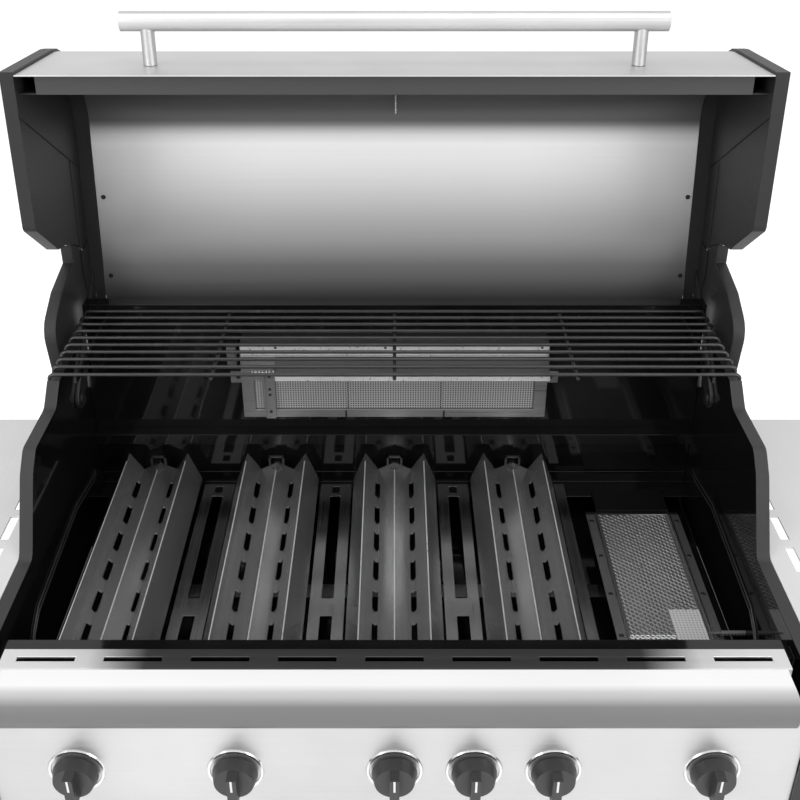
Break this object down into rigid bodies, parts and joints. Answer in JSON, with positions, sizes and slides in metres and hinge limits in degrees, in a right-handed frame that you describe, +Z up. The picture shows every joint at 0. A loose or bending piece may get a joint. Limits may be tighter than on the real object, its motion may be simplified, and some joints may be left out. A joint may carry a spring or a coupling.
{
  "type": "gas grill",
  "caption": "Gas grill head with its lid open: tube burners under slotted flame tamers, a mesh-covered sear burner, a rear infrared burner, a warming rack and side shelves.",
  "frame": {"origin": "under the middle of the base frame, on the plane that it rests on", "axes": "+Z up, +X to the user's right along the firebox, -Y towards the user"},
  "size_m": [1.4386, 0.6926, 0.8018],
  "materials": {
    "charcoal_casting": "charcoal powder coat on cast aluminium",
    "stainless": "satin stainless sheet",
    "black_enamel": "glossy black enamel on steel",
    "tamer_steel": "dull stainless sheet and tube",
    "ceramic": "matte white ceramic",
    "dark_steel": "dark satin steel",
    "brass": "plain brass",
    "knob_black": "black moulded plastic"
  },
  "bodies": {
    "firebox": {"cheek_left": "charcoal_casting", "cheek_right": "charcoal_casting", "hood_end_left": "charcoal_casting", "hood_end_right": "charcoal_casting", "back_wall": "black_enamel", "rear_cover": "dark_steel", "rear_grate_ledge": "black_enamel", "burner_rail": "black_enamel", "front_wall": "black_enamel", "slotted_strip": "stainless", "front_rail": "stainless", "control_panel": "stainless", "hopper": "black_enamel", "base_frame": "dark_steel", "flame_tamer_1": "tamer_steel", "flame_tamer_2": "tamer_steel", "flame_tamer_3": "tamer_steel", "flame_tamer_4": "tamer_steel", "slotted_channel_1": "tamer_steel", "slotted_channel_2": "tamer_steel", "slotted_channel_3": "tamer_steel", "slotted_channel_4": "tamer_steel", "burner_1": "tamer_steel", "burner_2": "tamer_steel", "burner_3": "tamer_steel", "burner_4": "tamer_steel", "sear_burner_box": "tamer_steel", "sear_burner_tile": "ceramic", "sear_burner_mesh": "stainless", "sear_igniter": "ceramic", "rear_burner_housing": "stainless", "rear_burner_face": "dark_steel", "rear_burner_hood": "stainless", "rear_igniter": "ceramic", "warming_rack": "dark_steel", "gas_manifold": "brass", "hinge_pin_left": "dark_steel", "hinge_pin_right": "dark_steel", "side_shelf_left": "stainless", "side_shelf_right": "stainless"},
    "lid": {"lid_end_left": "charcoal_casting", "lid_end_right": "charcoal_casting", "lid_skin": "stainless", "lid_liner": "stainless", "hinge_arm_left": "dark_steel", "hinge_arm_right": "dark_steel", "lid_handle": "stainless"},
    "tray": {"drip_tray": "stainless"},
    "stem_1": {"valve_stem_1": "brass"},
    "stem_2": {"valve_stem_2": "brass"},
    "stem_3": {"valve_stem_3": "brass"},
    "stem_4": {"valve_stem_4": "brass"},
    "stem_5": {"valve_stem_5": "brass"},
    "stem_6": {"valve_stem_6": "brass"},
    "control_1": {"knob_1": "knob_black"},
    "control_2": {"knob_2": "knob_black"},
    "control_3": {"knob_3": "knob_black"},
    "control_4": {"knob_4": "knob_black"},
    "control_5": {"knob_5": "knob_black"},
    "control_6": {"knob_6": "knob_black"}
  },
  "joints": [
    {"name": "lid_hinge", "type": "hinge", "parent": "firebox", "child": "lid", "pos_m": [0, 0.194, 0.317], "axis": [1, 0, 0], "range_deg": [0, 94]},
    {"name": "drip_tray_slide", "type": "slide", "parent": "firebox", "child": "tray", "axis": [0, -1, 0], "range_m": [0, 0.3]},
    {"name": "knob_1_push", "type": "slide", "parent": "firebox", "child": "stem_1", "axis": [0, 1, 0], "range_m": [0, 0.003], "stiffness_N_per_m": 400, "springref_m": -0.004},
    {"name": "knob_2_push", "type": "slide", "parent": "firebox", "child": "stem_2", "axis": [0, 1, 0], "range_m": [0, 0.003], "stiffness_N_per_m": 400, "springref_m": -0.004},
    {"name": "knob_3_push", "type": "slide", "parent": "firebox", "child": "stem_3", "axis": [0, 1, 0], "range_m": [0, 0.003], "stiffness_N_per_m": 400, "springref_m": -0.004},
    {"name": "knob_4_push", "type": "slide", "parent": "firebox", "child": "stem_4", "axis": [0, 1, 0], "range_m": [0, 0.003], "stiffness_N_per_m": 400, "springref_m": -0.004},
    {"name": "knob_5_push", "type": "slide", "parent": "firebox", "child": "stem_5", "axis": [0, 1, 0], "range_m": [0, 0.003], "stiffness_N_per_m": 400, "springref_m": -0.004},
    {"name": "knob_6_push", "type": "slide", "parent": "firebox", "child": "stem_6", "axis": [0, 1, 0], "range_m": [0, 0.003], "stiffness_N_per_m": 400, "springref_m": -0.004},
    {"name": "knob_1_turn", "type": "hinge", "parent": "stem_1", "child": "control_1", "pos_m": [-0.33, -0.28, 0.14], "axis": [0, -1, 0], "range_deg": [0, 180]},
    {"name": "knob_2_turn", "type": "hinge", "parent": "stem_2", "child": "control_2", "pos_m": [-0.165, -0.28, 0.14], "axis": [0, -1, 0], "range_deg": [0, 180]},
    {"name": "knob_3_turn", "type": "hinge", "parent": "stem_3", "child": "control_3", "pos_m": [0, -0.28, 0.14], "axis": [0, -1, 0], "range_deg": [0, 180]},
    {"name": "knob_4_turn", "type": "hinge", "parent": "stem_4", "child": "control_4", "pos_m": [0.0825, -0.28, 0.14], "axis": [0, -1, 0], "range_deg": [0, 180]},
    {"name": "knob_5_turn", "type": "hinge", "parent": "stem_5", "child": "control_5", "pos_m": [0.165, -0.28, 0.14], "axis": [0, -1, 0], "range_deg": [0, 180]},
    {"name": "knob_6_turn", "type": "hinge", "parent": "stem_6", "child": "control_6", "pos_m": [0.33, -0.28, 0.14], "axis": [0, -1, 0], "range_deg": [0, 180]}
  ]
}
